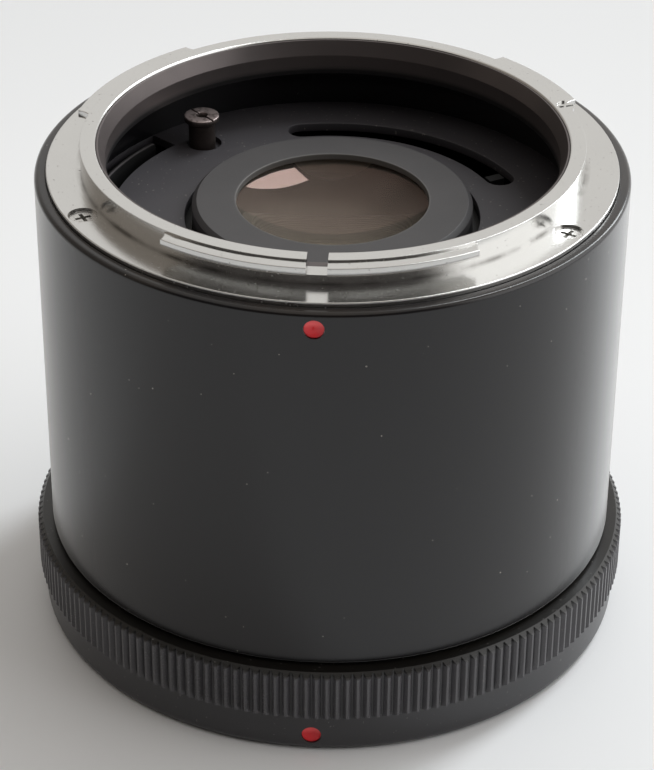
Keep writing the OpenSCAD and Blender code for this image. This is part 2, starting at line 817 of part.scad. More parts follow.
module spring_anchor_pins() {
    color("#8d8d8c") for (spring = springs)
        polar(tube_r - anchor_depth + fit, spring[0] - anchor_turn) translate([0, 0, spring[1]])
            rotate([0, 90, 0]) cylinder(r = anchor_r, h = anchor_depth + anchor_reach, $fn = 48);
}

// The knurl's outline: blunt ridges with narrow-floored grooves between them
function knurl_points() = [
    for (i = [0:knurl_count - 1], p = [
        [-crest_share / 2, 0], [crest_share / 2, 0],
        [0.5 - root_share / 2, knurl_depth], [0.5 + root_share / 2, knurl_depth]
    ])
    let (az = (i + 0.5 + p[0]) * 360 / knurl_count, r = grip_r - p[1])
    [r * cos(az), r * sin(az)]
];

module breech_grip_ring() {
    color("#242426") difference() {
        union() {
            rotate_extrude($fn = 180) difference() {
                square([band_r, knurl_z + past]);
                translate([band_r, 0]) mirror([0, 1]) corner_cut(grip_round);
            }
            intersection() {
                translate([0, 0, knurl_z - past]) linear_extrude(knurl_h + 2 * past)
                    polygon(knurl_points());
                rotate_extrude($fn = 180) polygon([
                    [0, knurl_z], [band_r - 0.2, knurl_z], [grip_r + 0.2, knurl_z + 0.6],
                    [grip_r + 0.2, grip_h - grip_chamfer - 0.2], [grip_r - grip_chamfer, grip_h],
                    [0, grip_h]
                ]);
            }
        }
        translate([0, 0, -past]) cylinder(r = grip_lip_r, h = grip_h + 2 * past);
        translate([0, 0, grip_lip_t]) cylinder(r = bayonet_r + fit, h = grip_h);
        for (az = join_screw_az)
            rotate([0, 0, az]) translate([bayonet_r - past, 0, join_screw_z]) rotate([0, 90, 0])
                cylinder(r = join_screw_r + fit, h = past + join_grip + 0.2, $fn = 48);
        dot_hole(band_r, grip_dot_z, dot_depth, dot_d / 2);
    }
}

module breech_index_dot() {
    color("#c02838") dot_paint_disc(band_r, grip_dot_z);
}

module breech_bayonet_ring() {
    step_z = grip_lip_t + run_fit;
    color("#6f6f70") difference() {
        union() {
            rotate_extrude($fn = 180) polygon([
                [clear_r, lug_z0], [grip_lip_r - run_fit, lug_z0], [grip_lip_r - run_fit, step_z],
                [bayonet_r, step_z], [bayonet_r, bayonet_z1], [journal_r + run_fit, bayonet_z1],
                [journal_r + run_fit, shoulder_z], [clear_r, shoulder_z]
            ]);
            for (gap = gaps)
                sector(
                    lug_r, clear_r + 0.3, index_az + gap[0] + lug_play, index_az + gap[1] - lug_play,
                    lug_z0, lug_z1
                );
        }
        sector(
            stop_circle_r - stop_groove_w / 2, stop_circle_r + stop_groove_w / 2,
            stop_pin_az - stop_play, stop_pin_az + lock_angle + stop_play,
            bayonet_z1 - stop_groove_depth, bayonet_z1 + past
        );
        for (az = join_screw_az)
            rotate([0, 0, az]) translate([clear_r - 0.06, 0, join_screw_z]) rotate([0, -90, 0])
                countersink(join_head_r + 0.15, join_screw_r, bayonet_r - clear_r + past);
    }
}

module breech_ring_screws() {
    color("#8d8d8c") for (az = join_screw_az)
        rotate([0, 0, az]) translate([clear_r + 0.05, 0, join_screw_z]) rotate([0, -90, 0])
            countersunk(join_head_r, join_screw_r, bayonet_r - clear_r + join_grip);
}

module drive_ring() {
    color("#48474a") difference() {
        union() {
            sleeve(hub_r, tube_r + run_fit, drive_z0, drive_z1);
            sector(hub_r - 0.5, drive_arm_r, drive_arm[0], drive_arm[1], drive_z0, drive_z1);
            sector(hub_r - 0.5, finger_r1, finger_arm_az[0], finger_arm_az[1], drive_z0, drive_z1);
            sector(finger_r0, finger_r1, finger_az[0], finger_az[1], drive_z0, baffle_z - 0.1);
        }
        polar(drive_screw_circle_r, drive_az) translate([0, 0, drive_z0 - past])
            cylinder(r = drive_screw_r + fit, h = plate_t + 2 * past, $fn = 48);
    }
}

module drive_lever() {
    foot_z0 = drive_z0 - drive_foot_t;
    color("#8d8d8c") difference() {
        union() {
            sector(
                lever_r - lever_t / 2, drive_arm_r, drive_az - 6, drive_lever_az + 5,
                foot_z0, drive_z0
            );
            rotate([0, 0, drive_lever_az]) translate([lever_r - lever_t / 2, -lever_w / 2, lever_z0])
                cube([lever_t, lever_w, drive_z0 - lever_z0]);
        }
        polar(drive_screw_circle_r, drive_az) translate([0, 0, foot_z0 - past])
            cylinder(r = drive_screw_r + fit, h = drive_foot_t + 2 * past, $fn = 48);
    }
}

module drive_screw() {
    color("#8d8d8c") polar(drive_screw_circle_r, drive_az) translate([0, 0, drive_z0 - drive_foot_t])
        pan_screw(drive_head_r, drive_head_h, drive_screw_r, drive_foot_t + plate_t - 0.1);
}

module signal_ring() {
    color("#48474a") {
        sleeve(hub_r, tube_r + run_fit, signal_z0, signal_z1);
        sector(hub_r - 0.5, lever_r + 1, signal_arm[0], signal_arm[1], signal_z0, signal_z1);
    }
}

module signal_follower() {
    color("#48474a") rotate([0, 0, signal_az])
        translate([lever_r - follower_w / 2, -lever_t / 2, signal_z1])
            cube([follower_w, lever_t, baffle_z - 0.4 - signal_z1]);
}

module signal_lever() {
    color("#8d8d8c") rotate([0, 0, signal_lever_az])
        translate([lever_r - lever_t / 2, -lever_w / 2, lever_z0])
            cube([lever_t, lever_w, signal_z0 - lever_z0]);
}

barrel();
front_index_dot();
front_mount();
front_mount_screws();
bayonet_stop_screw();
throat_liner();
front_baffle();
full_aperture_post();
baffle_retaining_ring();
lens_tube();
lens_tube_screws();
lens_cap_ring();
front_element();
second_element();
third_element();
rear_element();
front_spacer();
rear_spacer();
rear_lens_ring();
rear_housing();
rear_seat_ring();
rear_seat_screws();
rear_cover();
rear_cover_screws();
positioning_pin();
full_aperture_pin();
breech_stop_pin();
breech_washer();
ring_spacer();
ring_clip();
drive_spring();
signal_spring();
spring_anchor_pins();
breech_grip_ring();
breech_index_dot();
breech_bayonet_ring();
breech_ring_screws();
drive_ring();
drive_lever();
drive_screw();
signal_ring();
signal_follower();
signal_lever();
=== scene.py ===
import bpy
import bmesh
import math
from mathutils import Matrix, Vector


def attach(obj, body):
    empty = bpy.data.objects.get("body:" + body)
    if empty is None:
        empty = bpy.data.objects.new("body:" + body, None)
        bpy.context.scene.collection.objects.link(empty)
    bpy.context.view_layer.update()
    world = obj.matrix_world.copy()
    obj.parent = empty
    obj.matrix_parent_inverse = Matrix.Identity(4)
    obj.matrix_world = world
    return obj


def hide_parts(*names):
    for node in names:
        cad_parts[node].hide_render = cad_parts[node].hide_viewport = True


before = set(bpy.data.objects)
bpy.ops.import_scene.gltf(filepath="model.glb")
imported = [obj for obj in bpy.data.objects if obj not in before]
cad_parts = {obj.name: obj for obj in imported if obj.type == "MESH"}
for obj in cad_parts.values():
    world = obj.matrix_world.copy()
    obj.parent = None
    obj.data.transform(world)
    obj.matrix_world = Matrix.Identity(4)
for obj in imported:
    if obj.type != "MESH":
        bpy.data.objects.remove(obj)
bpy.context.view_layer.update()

# Lens tube, rear housing and the threaded rings inside.
# Turned from aluminium bar and anodised black; the tube is screwed to the housing's floor by its
# foot, and the rings are screwed in with a spanner. A fine turning mark stays under the black.


class Tone:
    """One shader socket. Sums and products add Math nodes, and make() adds any other node."""

    def __init__(self, tree, socket=None):
        self.tree = tree
        self.socket = socket

    def make(self, kind, settings, inputs, out=0):
        """Adds a node, sets its settings, then gives its sockets their values or links."""
        node = self.tree.nodes.new(kind)
        for key, value in settings.items():
            setattr(node, key, value)
        for key, value in inputs.items():
            if isinstance(value, Tone):
                self.tree.links.new(value.socket, node.inputs[key])
            else:
                node.inputs[key].default_value = value
        return Tone(self.tree, node.outputs[out] if len(node.outputs) else None)

    def math(self, operation, first, second):
        """Adds a Math node, for the operators below."""
        return self.make("ShaderNodeMath", {"operation": operation}, {0: first, 1: second})

    def __add__(self, other):
        return self.math("ADD", self, other)

    def __radd__(self, other):
        return self.math("ADD", other, self)

    def __sub__(self, other):
        return self.math("SUBTRACT", self, other)

    def __rsub__(self, other):
        return self.math("SUBTRACT", other, self)

    def __mul__(self, other):
        return self.math("MULTIPLY", self, other)

    def __rmul__(self, other):
        return self.math("MULTIPLY", other, self)

    def __gt__(self, other):
        return self.math("GREATER_THAN", self, other)

    def __lt__(self, other):
        return self.math("LESS_THAN", self, other)


def new_finish(name):
    """A new material without nodes, and the Tone that adds them."""
    finish = bpy.data.materials.new(name)
    finish.use_nodes = True
    finish.node_tree.nodes.clear()
    return finish, Tone(finish.node_tree)


def place_on(tone):
    """The place on the part, in metres."""
    return tone.make("ShaderNodeTexCoord", {}, {}, "Object")


def scaled(tone, place, by):
    """A place or direction with its X, Y and Z each multiplied by a number."""
    return tone.make("ShaderNodeVectorMath", {"operation": "MULTIPLY"}, {0: place, 1: by})


def radius_at(tone, place):
    """The distance of a place from the optical axis."""
    flat = scaled(tone, place, (1, 1, 0))
    return tone.make("ShaderNodeVectorMath", {"operation": "LENGTH"}, {0: flat}, "Value")


def height_at(tone, place):
    """The height of a place, its Z."""
    return tone.make("ShaderNodeSeparateXYZ", {}, {0: place}, "Z")


def noise(tone, place, scale, detail=2.0, rough=0.5):
    """Cloudy noise from 0 to 1; scale is in cycles per metre."""
    return tone.make(
        "ShaderNodeTexNoise", {},
        {"Vector": place, "Scale": scale, "Detail": detail, "Roughness": rough},
    )


def turned(tone, radius, height, scale):
    """The fine rings that a lathe tool leaves, from 0 to 1."""
    return tone.make(
        "ShaderNodeTexNoise", {"noise_dimensions": "1D"},
        {"W": radius + height, "Scale": scale, "Detail": 3.0, "Roughness": 0.6},
    )


def between(tone, share, first, second):
    """A colour between two colours."""
    colours = [c if isinstance(c, Tone) else (*c, 1) for c in (first, second)]
    return tone.make(
        "ShaderNodeMix", {"data_type": "RGBA"}, {0: share, 6: colours[0], 7: colours[1]}, out=2
    )


mm = 0.001


def bumped(tone, height, strength, depth):
    """A normal that follows a height from 0 to 1, which stands for a depth in mm."""
    return tone.make(
        "ShaderNodeBump", {}, {"Height": height, "Strength": strength, "Distance": depth * mm}
    )


def finish_surface(tone, shader):
    """Ends a finish with its surface shader."""
    tone.make("ShaderNodeOutputMaterial", {}, {"Surface": shader})


def finish_solid(tone, inputs):
    """Ends a finish with a Principled shader that has those inputs."""
    finish_surface(tone, tone.make("ShaderNodeBsdfPrincipled", {}, inputs))


def dress(finish, *names):
    """Gives CAD nodes a finish."""
    for name in names:
        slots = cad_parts[name].data.materials
        slots.clear()
        slots.append(finish)


inner_black, tone = new_finish("inner_black")
place = place_on(tone)
marks = turned(tone, radius_at(tone, place), height_at(tone, place), 9000)
cloud = noise(tone, place, 120, 4)
finish_solid(tone, {
    "Base Color": between(tone, cloud, (0.012, 0.012, 0.013), (0.026, 0.025, 0.026)),
    "Roughness": 0.42 + 0.2 * cloud,
    "Normal": bumped(tone, marks, 0.08, 0.1),
})
dress(inner_black, "lens_tube", "rear_lens_ring", "rear_housing", "baffle_retaining_ring")

# Glass elements, stacked between spacer tubes in the lens tube.
# Ground and polished optical glass under thin anti-reflection coats, pink on the two outer faces
# and a fainter amber on the inner ones; their diffuse haze is painted reflection, for the light
# mirrored between the faces.
glass_r, glass_z, glass_edge_t = 11.2, 48.25, 5.2
front_hollow_r, back_hollow_r = 21, 160
inner_foot_z, inner_top_z = 12.0, 44.6


def span(tone, value, low, high, start=0.0, end=1.0):
    """Takes low..high to start..end and stays within it."""
    return tone.make(
        "ShaderNodeMapRange", {},
        {"Value": value, "From Min": low, "From Max": high, "To Min": start, "To Max": end},
    )


def add_object(name, data):
    """A new object in the scene, from its mesh, curve, lamp or lens."""
    item = bpy.data.objects.new(name, data)
    bpy.context.scene.collection.objects.link(item)
    return item


def shade(mesh, sharp=32):
    """Makes a mesh look smooth but for edges sharper than that many degrees."""
    mesh.polygons.foreach_set("use_smooth", [True] * len(mesh.polygons))
    mesh.set_sharp_from_angle(angle=math.radians(sharp))


def piece_from(name, bm):
    """A new piece from a mesh in mm, with its corners joined and its faces turned outwards."""
    bmesh.ops.remove_doubles(bm, verts=bm.verts, dist=1e-5)
    bmesh.ops.recalc_face_normals(bm, faces=bm.faces)
    bmesh.ops.scale(bm, vec=(mm, mm, mm), verts=bm.verts)
    mesh = bpy.data.meshes.new(name)
    bm.to_mesh(mesh)
    bm.free()
    shade(mesh)
    return add_object(name, mesh)


def turn_outline(bm, outline, steps=240):
    """Turns a closed (r, z) outline, in mm, about the optical axis."""
    rings = []
    for i in range(steps):
        angle = 2 * math.pi * i / steps
        rings.append([
            bm.verts.new((r * math.cos(angle), r * math.sin(angle), z)) for r, z in outline
        ])
    for i in range(steps):
        near, far = rings[i], rings[(i + 1) % steps]
        for j in range(len(outline)):
            k = (j + 1) % len(outline)
            starts_on_axis, ends_on_axis = outline[j][0] < 1e-9, outline[k][0] < 1e-9
            if starts_on_axis and ends_on_axis:
                continue
            if starts_on_axis:
                corners = [near[j], far[k], near[k]]
            elif ends_on_axis:
                corners = [near[j], far[j], near[k]]
            else:
                corners = [near[j], far[j], far[k], near[k]]
            bm.faces.new(corners)


def dished(sphere_r, edge_z, side, steps=32):
    """Points from the edge to the axis of a spherical face; side is -1 for a hollow seen from above."""
    fall = sphere_r - math.sqrt(sphere_r ** 2 - glass_r ** 2)
    points = []
    for i in range(steps + 1):
        r = glass_r * (1 - i / steps)
        points.append((r, edge_z + side * (fall - sphere_r + math.sqrt(sphere_r ** 2 - r ** 2))))
    return points


bm = bmesh.new()
front_face = dished(front_hollow_r, glass_z, -1)
back_face = dished(back_hollow_r, glass_z - glass_edge_t, 1)
turn_outline(bm, front_face + back_face[::-1], 160)
front_glass = piece_from("front_glass", bm)


def coat(tone, smear, share, tint):
    """Clear glass under a thin coat, which mirrors that share of the light in a tint."""
    clear = tone.make("ShaderNodeBsdfRefraction", {}, {
        "Color": (0.93, 0.9, 0.85, 1), "Roughness": 0.0, "IOR": 1.5,
    })
    mirror = tone.make("ShaderNodeBsdfGlossy", {}, {
        "Color": (*tint, 1), "Roughness": span(tone, smear, 0.55, 0.8, 0.0, 0.04),
    })
    return tone.make("ShaderNodeMixShader", {}, {0: share, 1: clear, 2: mirror})


def lens_glass(name, haze_reflection_share, haze_reflection_colour):
    """Glass with a pink coat and a little dust on the outer faces; inside, an amber coat and a haze of
    painted reflection.
    """
    finish, tone = new_finish(name)
    place = place_on(tone)
    height = height_at(tone, place)
    smear = noise(tone, place, 260, 3)
    outer = (height > inner_top_z * mm) + (height < inner_foot_z * mm)
    # Painted reflection: a diffuse haze standing in for the light that the inner faces mirror between
    # them.
    haze = tone.make("ShaderNodeBsdfDiffuse", {}, {"Color": (*haze_reflection_colour, 1)})
    inner_face = tone.make("ShaderNodeMixShader", {}, {
        0: haze_reflection_share + 0.03 * smear, 1: coat(tone, smear, 0.006, (1.0, 0.9, 0.75)), 2: haze,
    })
    dust = tone.make("ShaderNodeBsdfDiffuse", {}, {"Color": (0.9, 0.8, 0.7, 1)})
    outer_face = tone.make("ShaderNodeMixShader", {}, {
        0: 0.045 + 0.02 * smear, 1: coat(tone, smear, 0.045, (1.0, 0.68, 0.6)), 2: dust,
    })
    glass = tone.make("ShaderNodeMixShader", {}, {0: outer, 1: inner_face, 2: outer_face})
    clear = tone.make("ShaderNodeBsdfTransparent", {}, {"Color": (0.97, 0.95, 0.92, 1)})
    shadow = tone.make("ShaderNodeLightPath", {}, {}, "Is Shadow Ray")
    finish_surface(tone, tone.make("ShaderNodeMixShader", {}, {0: shadow, 1: glass, 2: clear}))
    return finish


front_glass.data.materials.append(lens_glass("coated_glass", 0.1, (0.62, 0.55, 0.48)))
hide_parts("front_element")
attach(front_glass, "housing")
dress(lens_glass("bloomed_glass", 0.14, (0.8, 0.77, 0.72)), "second_element")
dress(lens_glass("inner_glass", 0.03, (0.5, 0.43, 0.37)), "third_element", "rear_element")

# Spacer tubes between the elements.
# Thin aluminium tubes, threaded inside against stray light and painted dead black; the rear lens
# ring clamps them together with the glass.
spacer_black, tone = new_finish("spacer_black")
place = place_on(tone)
thread = tone.make("ShaderNodeTexWave", {"bands_direction": "Z"}, {
    "Vector": place, "Scale": 600.0, "Distortion": 0.0,
})
dust = noise(tone, place, 900, 3)
finish_solid(tone, {
    "Base Color": between(tone, dust, (0.006, 0.006, 0.006), (0.018, 0.017, 0.016)),
    "Roughness": 0.8 + 0.15 * dust,
    "Normal": bumped(tone, thread, 0.6, 0.2),
})
dress(spacer_black, "front_spacer", "rear_spacer")

# Return springs of the control rings, and the snap ring on the lens tube.
# Drawn spring wire, coiled or bent and lightly oiled; each spring hangs between a pin and a lever.
spring_wire, tone = new_finish("spring_wire")
drawn = noise(tone, place_on(tone), 2600, 2)
finish_solid(tone, {
    "Base Color": between(tone, drawn, (0.36, 0.35, 0.34), (0.55, 0.54, 0.52)),
    "Metallic": 1.0,
    "Roughness": 0.22 + 0.2 * drawn,
})
dress(spring_wire, "drive_spring", "signal_spring", "ring_clip")

# Levers, collar and pins of the aperture linkage and the rear mount, and the breech ring's lugs.
# Stamped or turned steel, tumbled and nickelled, with fine scratches from wear.
lever_steel, tone = new_finish("lever_steel")
place = place_on(tone)
brush = noise(tone, scaled(tone, place, (1, 1, 0.06)), 5200, 3, 0.7)
stain = noise(tone, place, 140, 3)
finish_solid(tone, {
    "Base Color": between(tone, stain, (0.4, 0.39, 0.38), (0.62, 0.61, 0.59)),
    "Metallic": 1.0,
    "Roughness": 0.24 + 0.14 * brush + 0.1 * stain,
    "Normal": bumped(tone, brush, 0.12, 0.1),
})
dress(
    lever_steel, "drive_lever", "signal_lever", "ring_spacer", "spring_anchor_pins",
    "positioning_pin", "full_aperture_pin", "breech_stop_pin", "breech_bayonet_ring",
)

# Control rings under the baffle; the drive ring's upturned finger shows in the left slot.
# Stamped steel, chemically blackened; along the edge that works, the finger's top, it is painted
# lighter: a painted highlight, with some wear.
edge_band_r_in, edge_band_r_out, edge_band_fade, edge_band_z = 25.9, 26.0, 0.15, 46.6
blackened, tone = new_finish("blackened_steel")
place = place_on(tone)
radius = radius_at(tone, place)
wear = noise(tone, place, 700, 3)
past_inside = span(tone, radius, (edge_band_r_in - edge_band_fade) * mm, edge_band_r_in * mm)
within_outside = span(tone, radius, (edge_band_r_out + edge_band_fade) * mm, edge_band_r_out * mm)
finger = height_at(tone, place) > edge_band_z * mm
# Painted highlight along the finger's top edge, with some wear too.
edge_highlight_and_wear = past_inside * within_outside * finger * span(tone, wear, 0.25, 0.5, 0.6, 1.0)
finish_solid(tone, {
    "Base Color": between(tone, edge_highlight_and_wear, (0.012, 0.0118, 0.0125), (0.3, 0.28, 0.29)),
    "Metallic": 0.2 + 0.3 * edge_highlight_and_wear,
    "Roughness": 0.6 - 0.1 * wear,
})
dress(blackened, "drive_ring", "signal_ring", "signal_follower")

# Front baffle, the plate round the lens.
# Stamped aluminium sheet with curved slots for the levers, sprayed matte charcoal, held by a ring
# from below against the barrel's shoulder.
baffle_r, baffle_bore_r, baffle_z, baffle_t, baffle_edge = 29.27, 15.8, 47.0, 1.0, 0.08
follower_slot = {"r_in": 18.6, "r_out": 21.8, "az0": 28, "az1": 103}
finger_slot = {"r_in": 23.85, "r_out": 27.35, "az0": 141, "az1": 242}
post_r, post_az, post_hole_r = 21.95, 135, 1.53
sink_r, sink_az, sink_depth = 1.95, post_az - 0.8, 0.6


def circle_points(r, steps=240, middle=(0, 0)):
    """The outline of a round hole or disc, in mm."""
    turns = [2 * math.pi * i / steps for i in range(steps)]
    return [(middle[0] + r * math.cos(a), middle[1] + r * math.sin(a)) for a in turns]


def slot_points(r_in, r_out, az0, az1, round_ends=True):
    """The outline of a curved slot between two radii and two azimuths in whole degrees."""
    middle, half = (r_in + r_out) / 2, (r_out - r_in) / 2
    steps, end_steps = az1 - az0, 12
    points = []
    for r, first, last, heading in ((r_out, az0, az1, 0), (r_in, az1, az0, math.pi)):
        for i in range(steps + 1):
            az = math.radians(first + (last - first) * i / steps)
            points.append((r * math.cos(az), r * math.sin(az)))
        if round_ends:
            end = math.radians(last)
            end_x, end_y = middle * math.cos(end), middle * math.sin(end)
            for i in range(1, end_steps):
                sweep = end + heading + math.pi * i / end_steps
                points.append((end_x + half * math.cos(sweep), end_y + half * math.sin(sweep)))
    return points


def final_mesh(item):
    """The mesh of an object with its bevels or cuts worked out."""
    return bpy.data.meshes.new_from_object(
        item.evaluated_get(bpy.context.evaluated_depsgraph_get())
    )


def plate(name, outlines, foot_z, top_z, edge):
    """A flat plate in mm from closed outlines, the inner ones being holes, with rounded edges."""
    curve = bpy.data.curves.new(name, "CURVE")
    curve.dimensions = "2D"
    curve.fill_mode = "BOTH"
    for outline in outlines:
        spline = curve.splines.new("POLY")
        spline.points.add(len(outline) - 1)
        for point, (x, y) in zip(spline.points, outline):
            point.co = (x * mm, y * mm, 0, 1)
        spline.use_cyclic_u = True
    curve.extrude = ((top_z - foot_z) / 2 - edge) * mm
    curve.bevel_depth = edge * mm
    curve.bevel_resolution = 2
    curve.offset = -edge * mm
    holder = add_object(name + "_curve", curve)
    mesh = final_mesh(holder)
    bpy.data.objects.remove(holder)
    mesh.name = name
    mesh.transform(Matrix.Translation((0, 0, (foot_z + top_z) / 2 * mm)))
    mesh.materials.clear()
    shade(mesh, 40)
    return add_object(name, mesh)


def spot_at(r, az, z):
    """A place at a radius in mm, an azimuth in degrees and a height in mm."""
    return Matrix.Rotation(math.radians(az), 4, "Z") @ Matrix.Translation((r, 0, z))


def drill(r, first_z, last_z):
    """The outline of a plain round cutter between two heights, in mm."""
    return [(0, first_z), (r, first_z), (r, last_z), (0, last_z)]


def round_cutter(outline, spot):
    """A turned cutter in mm, moved to its spot."""
    bm = bmesh.new()
    turn_outline(bm, outline, 64)
    bmesh.ops.transform(bm, matrix=spot, verts=bm.verts)
    return piece_from("round_cutter", bm)


def cut_away(piece, cutters):
    """Cuts closed cutter pieces out of a piece, and removes them."""
    for cutter in cutters:
        change = piece.modifiers.new("cut", "BOOLEAN")
        change.operation = "DIFFERENCE"
        change.solver = "EXACT"
        change.object = cutter
    bpy.context.view_layer.update()
    mesh = final_mesh(piece)
    piece.modifiers.clear()
    old = piece.data
    piece.data = mesh
    mesh.name = piece.name
    bpy.data.meshes.remove(old)
    for cutter in cutters:
        bpy.data.objects.remove(cutter)
    shade(mesh)


def even_faces(piece):
    """Keeps flat faces looking flat beside their rounded edges."""
    change = piece.modifiers.new("even_faces", "WEIGHTED_NORMAL")
    change.keep_sharp = True
    change.weight = 90
    change.thresh = 2e-9


post_place = spot_at(post_r, post_az, 0).translation
baffle = plate("baffle", [
    circle_points(baffle_r), circle_points(baffle_bore_r),
    circle_points(post_hole_r, 48, post_place[:2]),
    slot_points(**follower_slot), slot_points(**finger_slot, round_ends=False),
], baffle_z - baffle_t, baffle_z, baffle_edge)
cut_away(baffle, [round_cutter(drill(sink_r, -sink_depth, 1), spot_at(post_r, sink_az, baffle_z))])
even_faces(baffle)

charcoal, tone = new_finish("charcoal_paint")
place = place_on(tone)
grain = noise(tone, place, 9000, 2)
cloud = noise(tone, place, 90, 3)
lint = span(tone, noise(tone, place, 2400, 1), 0.72, 0.76)
paint = between(tone, cloud, (0.036, 0.033, 0.038), (0.056, 0.052, 0.058))
finish_solid(tone, {
    "Base Color": between(tone, lint, paint, (0.16, 0.15, 0.14)),
    "Roughness": 0.5 + 0.16 * grain,
    "Normal": bumped(tone, grain, 0.18, 0.06),
})
baffle.data.materials.append(charcoal)
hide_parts("front_baffle")
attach(baffle, "housing")

# Full-aperture post, the flanged pin that a lens's signal lever comes to rest against.
# Turned brass, darkened, riveted into the baffle; its top is slotted and worn to a pinkish grey.
post_top, post_foot = baffle_z + 3.6, baffle_z - baffle_t
stem_r, head_r, head_t, neck_t = 1.5, 1.95, 0.6, 0.3
mouth_r, mouth_depth, hole_r, hole_floor_r, hole_depth = 0.66, 0.35, 0.58, 0.56, 1.4
driver_slot_w, driver_slot_depth, slot_cutter_l, slot_cutter_h = 0.26, 0.22, 6, 1


def rounded(corners, steps):
    """Takes (r, z) or (r, z, radius) corners, in mm, to an outline with those corners rounded."""
    outline = []
    count = len(corners)
    for i, corner in enumerate(corners):
        here = Vector(corner[:2])
        size = corner[2] if len(corner) > 2 else 0
        if not size:
            outline.append(here)
            continue
        before = (Vector(corners[i - 1][:2]) - here).normalized()
        after = (Vector(corners[(i + 1) % count][:2]) - here).normalized()
        half = before.angle(after) / 2
        middle = here + (before + after).normalized() * (size / math.sin(half))
        start = here + before * (size / math.tan(half)) - middle
        end = here + after * (size / math.tan(half)) - middle
        for k in range(steps + 1):
            outline.append(middle + start.slerp(end, k / steps).normalized() * size)
    return outline


bm = bmesh.new()
turn_outline(bm, rounded([
    (0, post_foot), (stem_r, post_foot), (stem_r, post_top - head_t - neck_t, 0.12),
    (head_r, post_top - head_t, 0.08), (head_r, post_top, 0.14), (mouth_r, post_top, 0.06),
    (hole_r, post_top - mouth_depth), (hole_floor_r, post_top - hole_depth), (0, post_top - hole_depth),
], 4), 64)
bmesh.ops.transform(bm, matrix=spot_at(post_r, post_az, 0), verts=bm.verts)
post = piece_from("post", bm)


def block_cutter(size, spot):
    """A box cutter in mm, moved to its spot."""
    bm = bmesh.new()
    bmesh.ops.create_cube(bm, size=1)
    bmesh.ops.scale(bm, vec=size, verts=bm.verts)
    bmesh.ops.transform(bm, matrix=spot, verts=bm.verts)
    return piece_from("block_cutter", bm)


cutter_z = post_top - driver_slot_depth + slot_cutter_h / 2
cut_away(post, [
    block_cutter((slot_cutter_l, driver_slot_w, slot_cutter_h), spot_at(post_r, post_az, cutter_z))
])
even_faces(post)

dark_brass, tone = new_finish("dark_brass")
place = place_on(tone)
height = height_at(tone, place)
cloud = noise(tone, place, 1500, 3)
worn = span(tone, height, (post_top - 0.4) * mm, post_top * mm) * span(tone, cloud, 0.3, 0.5)
marks = turned(tone, radius_at(tone, place), height, 16000)
brass = between(tone, cloud, (0.06, 0.048, 0.044), (0.11, 0.09, 0.082))
finish_solid(tone, {
    "Base Color": between(tone, worn, brass, (0.36, 0.3, 0.29)),
    "Metallic": 0.85,
    "Roughness": 0.34 + 0.12 * cloud,
    "Normal": bumped(tone, marks, 0.1, 0.1),
})
post.data.materials.append(dark_brass)
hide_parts("full_aperture_post")
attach(post, "housing")

# Lens ring, the wide retaining ring that holds the front element.
# Turned aluminium, sprayed the same matte charcoal as the baffle, with a thin inner lip over the
# edge of the glass and a skirt that goes down round it.
cap_r, cap_z, cap_foot_z, cap_bevel = 15.0, 48.9, 47.4, 0.5
lip_r, cup_r, skirt_r, skirt_z = 10.3, 11.25, 12.55, 45.4
bm = bmesh.new()
turn_outline(bm, rounded([
    (lip_r, cap_z, 0.1), (cap_r - cap_bevel, cap_z, 0.12), (cap_r, cap_z - cap_bevel, 0.12),
    (cap_r, cap_foot_z), (skirt_r, cap_foot_z), (skirt_r, skirt_z), (cup_r, skirt_z),
    (cup_r, glass_z), (lip_r, glass_z),
], 4))
lens_ring = piece_from("lens_ring", bm)
even_faces(lens_ring)

ring_paint, tone = new_finish("lens_ring_paint")
place = place_on(tone)
radius = radius_at(tone, place)
grain = noise(tone, place, 8000, 2)
cloud = noise(tone, place, 160, 3)
marks = turned(tone, radius, height_at(tone, place), 7000)
# A painted highlight: the paint is lighter along the edge of the inner lip.
lip_highlight = span(tone, radius, (lip_r + 0.25) * mm, lip_r * mm)
paint = between(tone, cloud, (0.042, 0.04, 0.042), (0.062, 0.058, 0.06))
finish_solid(tone, {
    "Base Color": between(tone, lip_highlight, paint, (0.12, 0.115, 0.11)),
    "Roughness": 0.46 + 0.12 * grain,
    "Normal": bumped(tone, 0.6 * grain + 0.4 * marks, 0.16, 0.06),
})
lens_ring.data.materials.append(ring_paint)
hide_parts("lens_cap_ring")
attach(lens_ring, "housing")

# Barrel, the outer tube.
# Turned aluminium, bead-blasted and anodised black; the rim round the flange is rounded over and
# polished by handling. A shallow drilled dimple holds the index dot.
barrel_r, bore_r, shoulder_r, recess_r = 31.5, 29.3, 27.25, 30.3
barrel_foot_z, recess_z, rim_z = 10.8, 52.2, 53.0
dot_z, dimple_r, dimple_depth = 51.2, 1.05, 0.45
bm = bmesh.new()
turn_outline(bm, rounded([
    (barrel_r, barrel_foot_z, 0.35), (barrel_r, rim_z, 0.5), (recess_r, rim_z, 0.12),
    (recess_r, recess_z), (shoulder_r, recess_z), (shoulder_r, baffle_z, 0.06),
    (bore_r, baffle_z), (bore_r, barrel_foot_z),
], 6), 360)
barrel_tube = piece_from("barrel_tube", bm)
dimple_aim = Matrix.Translation((0, -barrel_r, dot_z)) @ Matrix.Rotation(math.radians(-90), 4, "X")
cut_away(barrel_tube, [round_cutter(drill(dimple_r, -1.5, dimple_depth), dimple_aim)])
even_faces(barrel_tube)


def specks(tone, place, scale, size, rarity):
    """Round specks of dust, in that share of the cells that the rarity leaves."""
    spread = tone.make("ShaderNodeTexVoronoi", {}, {"Vector": place, "Scale": scale})
    chosen = tone.make("ShaderNodeTexVoronoi", {}, {"Vector": place, "Scale": scale}, "Color")
    return (spread < size) * (tone.make("ShaderNodeSeparateColor", {}, {0: chosen}) > rarity)


